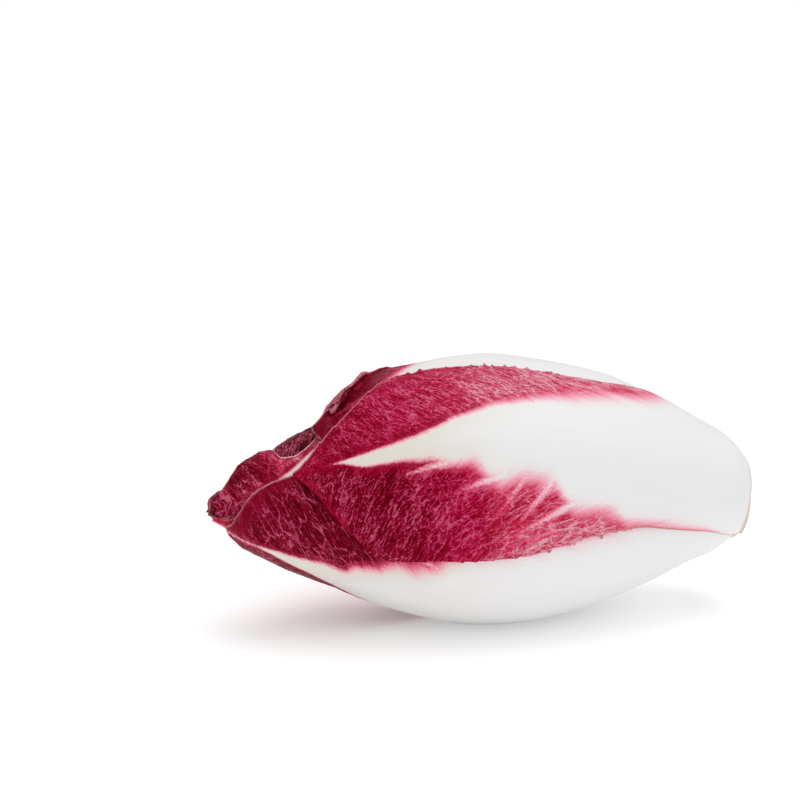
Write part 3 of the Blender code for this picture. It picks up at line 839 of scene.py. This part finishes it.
def bladeReliefAndShading(tree, at, given, level):
    # Light veins and hollows, from about -1 to 1, calmer in the smooth bands; it makes the bump, and the
    # colour paints shade into the hollows and highlights onto the rises.
    veinAt, flatAt = at["leafPlace"], at["leafFlat"]
    fine = noise(tree, veinAt, patterns["fineDrift"], 2.0)
    net, ridges = veinNet(tree, at, fine)
    grooves = contour(tree, noise(tree, veinAt, patterns["grooves"], 1.5, 0.5), 0.060)
    furrows = contour(tree, noise(tree, veinAt, patterns["furrows"], 1.5, 0.5), 0.05)
    furrows = times(tree, furrows, fade(tree, noise(tree, veinAt, patterns["furrowsCome"], 1.0), 0.44, 0.60))
    # Painted sheen: patches that the colour lightens as if glossy; they also lift the bump.
    paintedSheenPatches = fade(tree, noise(tree, flatAt, patterns["paintedSheenPatches"], 2.0, 0.5), 0.40, 0.64)
    specks = swing(tree, noise(tree, flatAt, patterns["specks"], 1.5, 0.6), 2.0)
    clouds = swing(tree, noise(tree, flatAt, patterns["clouds"], 1.0, 0.5), 0.6)
    relief = maths(tree, "ADD", specks, clouds)
    # The fine pits, grooves and furrows sink the relief, and the colour darkens them as painted shade.
    for pattern, share in ((ridges, -0.60), (grooves, -0.40), (furrows, -0.55)):
        relief = addScaled(tree, pattern, share, relief)
    relief = addScaled(tree, paintedSheenPatches, 0.16, maths(tree, "ADD", relief, 0.24))
    relief = addScaled(tree, fade(tree, at["pale"], 0.8, 1.4), 0.26, relief)
    calm = addScaled(tree, at["smooth"], -0.65, 1.0)
    rugged = times(tree, fade(tree, level, 0.6, 4.0, 0.35, 1.0), given["Grain Strength"])
    relief = times(tree, relief, times(tree, rugged, calm))
    lines = sideVeins(tree, at, fine, given["Vein Spacing"])
    raised = {"Vein Strength": lines, "Net Strength": net, "Fold Shading Strength": at["foldShading"]}
    for strength, pattern in raised.items():
        relief = addScaled(tree, times(tree, pattern, calm), given[strength], relief)
    return relief


def bladeColour(tree, at, given, level, hot, relief):
    # The red, with painted shade darkening the hollows and creases, lighter on the veins, and with painted
    # highlights on the raised bumps.
    low = times(tree, at["pale"], 2.0)
    body = mixColour(tree, fade(tree, low, 0.0, 1.0), given["Dark"], given["Bright"])
    body = mixColour(tree, fade(tree, maths(tree, "SUBTRACT", low, 1.0), 0.0, 1.0), body, given["Faded"])
    faint = mixColour(tree, fade(tree, at["along"], 0.20, 0.42), tints["faintBase"], tints["faint"])
    body = mixColour(tree, fade(tree, at["pale"], 1.0, 2.0), body, faint)
    body = mixColour(tree, times(tree, at["smooth"], 0.85), body, given["Band"])
    deep = maths(tree, "MAXIMUM", fade(tree, level, 1.4, 3.8), maths(tree, "SUBTRACT", 0.85, hot))
    blade = mixColour(tree, deep, given["Hot"], body)
    # Painted shade: a gamma darkens the red where the relief sinks into hollows, grooves and creases.
    curve = addNode(tree, "ShaderNodeClamp", {0: maths(tree, "SUBTRACT", 1.0, relief), 1: 0.92, 2: 1.9})
    blade = addNode(tree, "ShaderNodeGamma", {0: blade, 1: curve.outputs[0]}).outputs[0]
    # Painted highlights: the raised bumps, sheen patches and fold tops take the pale vein colour, as the
    # real veins do.
    light = mixColour(tree, fade(tree, at["pale"], 0.4, 1.6), given["Light"], tints["paleVeinsAndHighlights"])
    return mixColour(tree, fade(tree, relief, 0.06, 0.85, 0.0, 0.88), blade, light)


def ribColour(tree, at, given, level, hot, ribLine):
    # White with faint lines along it, creamier towards the tip and flushed beside the red.
    rib = mixColour(tree, times(tree, ribLine, 0.10), given["Rib"], tints["ribShade"])
    cream = times(tree, fade(tree, at["along"], 0.42, 0.66), fade(tree, at["blush"], -7.0, -0.5, 0.25, 1.0))
    rib = mixColour(tree, times(tree, cream, 0.7), rib, tints["cream"])
    flush = times(tree, fade(tree, level, -3.0, -0.8, 0.0, 0.20), hot)
    return mixColour(tree, flush, rib, given["Pink"])


def buildLeafSkin():
    # Red blade, pale rib, the streaks between them, side veins, puckers and the pale margin, with painted
    # shade in the hollows and painted highlights on the bumps.
    tree, given, result = newGroup("leafSkin", plainSkin,
        {"Color": "NodeSocketColor", "Height": "NodeSocketFloat", "Roughness": "NodeSocketFloat"})
    at = readFields(tree)
    grain = noise(tree, at["leafFlat"], patterns["grain"], 2.0, 0.6)
    level = redLevel(tree, at, grain)
    hot = fade(tree, at["feather"], 0.5, 2.0)
    relief = bladeReliefAndShading(tree, at, given, level)
    ribLine = fade(tree, noise(tree, at["leafFlat"], patterns["ribLines"]), 0.35, 0.65)

    rib = ribColour(tree, at, given, level, hot, ribLine)
    blade = bladeColour(tree, at, given, level, hot, relief)
    colour = mixColour(tree, fade(tree, level, -1.5, 0.7), rib, given["Pink"])
    colour = mixColour(tree, fade(tree, level, 0.0, 2.0), colour, blade)
    line = times(tree, fade(tree, at["margin"], 0.12, 0.5, 1.0, 0.0), fade(tree, grain, 0.3, 0.6, 0.4, 1.0))
    edge = mixColour(tree, fade(tree, at["along"], 0.22, 0.45, 1.0, 0.0), given["Edge"], tints["edgeBase"])
    colour = mixColour(tree, times(tree, at["rim"], line), colour, edge)
    brown = times(tree, fade(tree, at["along"], 0.001, 0.010, 1.0, 0.0), 0.6)
    tree.links.new(mixColour(tree, brown, colour, tints["cutBrown"]), result["Color"])

    height = times(tree, times(tree, relief, skinDepth), fade(tree, level, -0.5, 1.5))
    tree.links.new(addScaled(tree, ribLine, ribLineDepth, height), result["Height"])
    tree.links.new(addScaled(tree, grain, 0.2, 0.25), result["Roughness"])
    return tree


skins = {
    "outer": {"Vein Strength": 0.35},
    "front": {"Band": (0.31, 0.0022, 0.026, 1), "Vein Strength": 0.30, "Grain Strength": 1.15},
    "lower": {"Band": (0.225, 0.0030, 0.022, 1), "Vein Strength": 0.35, "Vein Spacing": 4.0,
        "Net Strength": 0.52, "Fold Shading Strength": 0.3, "Grain Strength": 0.8},
    # The top leaf's smooth band is darker, as painted shade beside its rolled margin.
    "top": {"Band": (0.17, 0.0008, 0.010, 1), "Vein Strength": 0.2, "Edge": (0.72, 0.20, 0.28, 1)},
    "middle": {"Dark": (0.20, 0.0014, 0.020, 1), "Bright": (0.34, 0.006, 0.042, 1),
        "Band": (0.28, 0.003, 0.026, 1), "Edge": (0.86, 0.52, 0.58, 1), "Vein Strength": 0.3,
        "Vein Spacing": 3.0, "Net Strength": 0.40, "Fold Shading Strength": 0.4, "Grain Strength": 0.75},
    "curl": {"Dark": (0.26, 0.0015, 0.018, 1), "Bright": (0.44, 0.006, 0.035, 1),
        "Band": (0.46, 0.006, 0.030, 1), "Edge": (0.84, 0.40, 0.45, 1), "Grain Strength": 0.7},
    "dark": {"Dark": (0.12, 0.0020, 0.014, 1), "Bright": (0.30, 0.006, 0.034, 1),
        "Band": (0.16, 0.003, 0.016, 1), "Edge": (0.86, 0.52, 0.58, 1), "Vein Strength": 0.4,
        "Net Strength": 0.5, "Grain Strength": 0.9},
    "inner": {"Dark": (0.30, 0.02, 0.06, 1), "Bright": (0.60, 0.12, 0.20, 1), "Faded": (0.74, 0.30, 0.38, 1),
        "Hot": (0.66, 0.10, 0.18, 1), "Vein Strength": 0.3, "Grain Strength": 0.5},
}


def leafMaterial(name, group):
    made = bpy.data.materials.new(name + "Leaf")
    made.use_nodes = True
    tree = made.node_tree
    shader = tree.nodes["Principled BSDF"]
    skin = addNode(tree, "ShaderNodeGroup", node_tree=group)
    for label, value in skins[name].items():
        skin.inputs[label].default_value = value
    relief = {"Height": skin.outputs["Height"], "Distance": mm, "Strength": 0.7}
    bump = addNode(tree, "ShaderNodeBump", relief)
    tree.links.new(skin.outputs["Color"], shader.inputs["Base Color"])
    tree.links.new(skin.outputs["Roughness"], shader.inputs["Roughness"])
    tree.links.new(bump.outputs["Normal"], shader.inputs["Normal"])
    shader.inputs["Specular IOR Level"].default_value = 0.03
    shader.inputs["Specular Tint"].default_value = (1.0, 0.40, 0.55, 1)
    return made


leafSkin = buildLeafSkin()
materials = {name: leafMaterial(name, leafSkin) for name in skins}
print("skins made")

for number, leaf in enumerate(leaves):
    makeLeaf(leaf, number, materials[leaf["skin"]])
print("leaves laid")


# The stem
stem = {
    "share": 0.012,  # how far in from the base the cut face lies
    "bite": 0.4 * mm,  # how far it grows into the leaves that close round it
    "least": 1.0 * mm,  # in from the outer leaves' faces, where no leaf closes round it
    "dome": 0.6 * mm,
    "rough": 0.5 * mm,
    "groove": (0.62, 0.08, 0.3 * mm),  # where it lies between middle and rim, its half width and its depth
    "depth": 0.16,  # share of the length
    "narrowing": ((0.00, 1.00), (0.15, 0.94), (0.35, 0.70), (0.60, 0.48), (1.00, 0.20)),  # by share of depth
    "segments": 112, "rings": 64,
    "flesh": ((0.86, 0.80, 0.67, 1), (0.80, 0.70, 0.54, 1)),
    "rays": (0.72, 0.58, 0.41, 1),
    "vessels": (0.70, 0.55, 0.37, 1),
    "blotches": (0.55, 0.38, 0.22, 1),
    "rim": (0.40, 0.24, 0.14, 1),
}


def stemEdge(angle):
    # Radius of the inner side of the leaves that close round the cut end.
    s = np.full_like(angle, stem["share"])
    nearest = ringRadius(leaves[0], s) - stem["least"]
    outerCount = sum(leaf["ring"] == 0 for leaf in leaves)
    for count in range(outerCount):
        _, inner, _ = leafFaces(count, s, angle)
        here = inside(leaves[count], s, angle, ringRadius(leaves[count], s)) > 0
        nearest = np.where(here, np.minimum(nearest, inner), nearest)
    return nearest + stem["bite"]


def stemMaterial():
    # Cream flesh with rays, a darker ring of vessels, browned blotches and a browned rim.
    made = bpy.data.materials.new("cutStem")
    made.use_nodes = True
    tree = made.node_tree
    shader = tree.nodes["Principled BSDF"]
    spot = addNode(tree, "ShaderNodeAttribute", attribute_name="stemSpot").outputs["Vector"]
    ringSpot = addNode(tree, "ShaderNodeAttribute", attribute_name="stemRound").outputs["Vector"]
    out = addNode(tree, "ShaderNodeSeparateXYZ", {0: ringSpot}).outputs["Z"]
    blotch = noise(tree, spot, (0.45, 0.45, 0.45), 3.0, 0.6)
    speck = noise(tree, spot, (3.2, 3.2, 3.2), 3.0, 0.6)
    rays = noise(tree, ringSpot, (7.0, 7.0, 0.8), 2.0, 0.5)
    uneven = addScaled(tree, maths(tree, "SUBTRACT", blotch, 0.5), 0.22, out)
    colour = mixColour(tree, fade(tree, speck, 0.35, 0.7), *stem["flesh"])
    colour = mixColour(tree, fade(tree, rays, 0.45, 0.75, 0.0, 0.35), colour, stem["rays"])
    vessel = maths(tree, "ABSOLUTE", maths(tree, "SUBTRACT", uneven, 0.60))
    colour = mixColour(tree, fade(tree, vessel, 0.02, 0.11, 0.55, 0.0), colour, stem["vessels"])
    colour = mixColour(tree, fade(tree, blotch, 0.52, 0.72, 0.0, 0.5), colour, stem["blotches"])
    colour = mixColour(tree, fade(tree, uneven, 0.84, 1.0, 0.0, 0.75), colour, stem["rim"])
    tree.links.new(colour, shader.inputs["Base Color"])
    tree.links.new(addScaled(tree, speck, 0.3, 0.4), shader.inputs["Roughness"])
    height = addScaled(tree, rays, 0.5, addScaled(tree, blotch, 0.6, speck))
    bump = addNode(tree, "ShaderNodeBump", {"Height": height, "Distance": 0.2 * mm, "Strength": 0.7})
    tree.links.new(bump.outputs["Normal"], shader.inputs["Normal"])
    shader.inputs["Specular IOR Level"].default_value = 0.15
    return made


def makeStem():
    deselectAll()
    bpy.ops.mesh.primitive_uv_sphere_add(segments=stem["segments"], ring_count=stem["rings"], radius=1.0)
    piece = bpy.context.object
    piece.name = "stem_cut"
    mesh = piece.data
    ball = np.zeros(len(mesh.vertices) * 3)
    mesh.vertices.foreach_get("co", ball)
    x, y, z = ball.reshape(-1, 3).T
    down = np.arccos(np.clip(z, -1.0, 1.0)) / math.pi
    angle = -np.arctan2(y, x)
    out = np.clip(down / 0.5, 0.0, 1.0)  # from the middle of the cut face to its rim
    deep = np.clip((down - 0.5) / 0.5, 0.0, 1.0)  # from the rim into the head
    edge = stemEdge(angle)
    across = out * np.where(deep > 0, smoothCurve(stem["narrowing"], deep) * (1.0 - deep**8), 1.0)
    sideX, sideY = across * np.cos(angle), across * np.sin(angle)
    fine = latticeNoise(sideX * 14 + 60, sideY * 14 + 60, 92) - 0.5
    rough = latticeNoise(sideX * 5 + 40, sideY * 5 + 40, 91) - 0.5 + 0.4 * fine
    middle, halfWide, depth = stem["groove"]
    groove = depth * np.exp(-(((out - middle) / halfWide) ** 2))
    raised = stem["dome"] * (1.0 - out**2) + stem["rough"] * rough * (deep == 0) - groove
    s = stem["share"] + deep * stem["depth"] - raised / head["length"]
    points = place(s, angle, edge * across)
    mesh.vertices.foreach_set("co", points.reshape(-1))
    spots = np.stack([sideX * 9, sideY * 9, deep * 20], axis=-1)
    rounds = np.stack([np.cos(angle), np.sin(angle), out + deep], axis=-1)
    for name, values in (("stemSpot", spots), ("stemRound", rounds)):
        mesh.attributes.new(name, "FLOAT_VECTOR", "POINT").data.foreach_set("vector", values.reshape(-1))
    mesh.update()
    bpy.ops.object.shade_smooth_by_angle(angle=math.radians(50))
    mesh.materials.append(stemMaterial())
    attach(piece, "root")
    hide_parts("stem")


makeStem()
print("stem cut")


# The studio
studio = {
    "floor": 6.0,  # metres across
    "sky": 0.45,  # how bright it lights the head; the camera sees it as 1
    "key": {"from": (0.10, 0.10, 0.95), "spread": 46, "strength": 0.95},
    "top": {"from": (0.00, 0.00, 1.00), "spread": 70, "strength": 0.66},
    "front": {"from": (0.10, -0.90, 0.45), "spread": 60, "strength": 0.53},
    "paper": (0.73, 0.73, 0.73, 1),
    "paperGlow": 0.37,  # so that the ground shows as white as the sky
    "paperPaintedShadow": (0.64, 0.010, 0.038),  # painted shadow: share of the glow left under the head, and where it comes back
    "underHead": (0.8, 1.2, 0.0),  # how fast the glow comes back past the painted shadow, along X and Y
}

shot = {
    "azimuth": -14, "elevation": 14,
    "distance": 0.436,
    "lens": 85, "sensor": 36,
    "target": (0, 0, 0.029),
    "targetPixel": (477, 491),  # where the target shows, in a picture of this size
    "imageSize": 800,
}


def softLight(name, setting):
    deselectAll()
    bpy.ops.object.light_add(type="SUN", location=setting["from"])
    lamp = bpy.context.object
    lamp.name = name
    lamp.data.angle = math.radians(setting["spread"])
    lamp.data.energy = setting["strength"]
    lamp.rotation_mode = "QUATERNION"
    lamp.rotation_quaternion = (-Vector(setting["from"])).to_track_quat("-Z", "Y")


def paperMaterial():
    # White paper that glows a little and evenly, with a painted shadow under the head where it glows less,
    # so that the shadow there stays soft but clear.
    made = bpy.data.materials.new("palePaper")
    made.use_nodes = True
    tree = made.node_tree
    shader = tree.nodes["Principled BSDF"]
    shader.inputs["Base Color"].default_value = studio["paper"]
    shader.inputs["Roughness"].default_value = 0.9
    shader.inputs["Specular IOR Level"].default_value = 0.1
    spot = scaled(tree, addNode(tree, "ShaderNodeTexCoord").outputs["Object"], studio["underHead"])
    away = addNode(tree, "ShaderNodeVectorMath", {0: spot}, operation="LENGTH").outputs["Value"]
    least, start, stop = studio["paperPaintedShadow"]
    # Painted shadow: the glow is dimmer near the head.
    glow = mixColour(tree, fade(tree, away, start, stop), (least, least, least, 1), (1, 1, 1, 1))
    tree.links.new(glow, shader.inputs["Emission Color"])
    shader.inputs["Emission Strength"].default_value = studio["paperGlow"]
    return made


def layFloor():
    deselectAll()
    bpy.ops.mesh.primitive_plane_add(size=studio["floor"], location=(0, 0, 0))
    floor = bpy.context.object
    floor.name = "floor"
    floor.data.materials.append(paperMaterial())


def lightSky():
    # A dim white sky that the camera sees as plain white.
    world = bpy.data.worlds.new("studio")
    world.use_nodes = True
    tree = world.node_tree
    background = tree.nodes["Background"]
    background.inputs["Color"].default_value = (1, 1, 1, 1)
    seen = addNode(tree, "ShaderNodeLightPath").outputs["Is Camera Ray"]
    strength = addScaled(tree, seen, 1.0 - studio["sky"], studio["sky"])
    tree.links.new(strength, background.inputs["Strength"])
    bpy.context.scene.world = world


def placeCamera():
    # Turned so that the target shows at its pixel of the picture.
    a, e = math.radians(shot["azimuth"]), math.radians(shot["elevation"])
    back = Vector((math.sin(a) * math.cos(e), -math.cos(a) * math.cos(e), math.sin(e)))
    right = Vector((math.cos(a), math.sin(a), 0))
    up = back.cross(right)
    target = Vector(shot["target"])
    # metres that a pixel spans at the target
    pixel = shot["distance"] * shot["sensor"] / shot["lens"] / shot["imageSize"]
    across, down = (spot - shot["imageSize"] / 2 for spot in shot["targetPixel"])
    aim = target - right * across * pixel + up * down * pixel
    bpy.ops.object.camera_add(location=target + back * shot["distance"])
    camera = bpy.context.object
    camera.data.lens = shot["lens"]
    camera.data.sensor_width = shot["sensor"]
    camera.data.dof.use_dof = False
    camera.rotation_mode = "QUATERNION"
    camera.rotation_quaternion = (aim - camera.location).to_track_quat("-Z", "Y")
    bpy.context.scene.camera = camera


layFloor()
lightSky()
for name in ("key", "front", "top"):
    softLight(name, studio[name])
placeCamera()
view = bpy.context.scene.view_settings
view.view_transform = "Standard"
view.look = "None"
view.exposure = 0.0
print("studio lit")
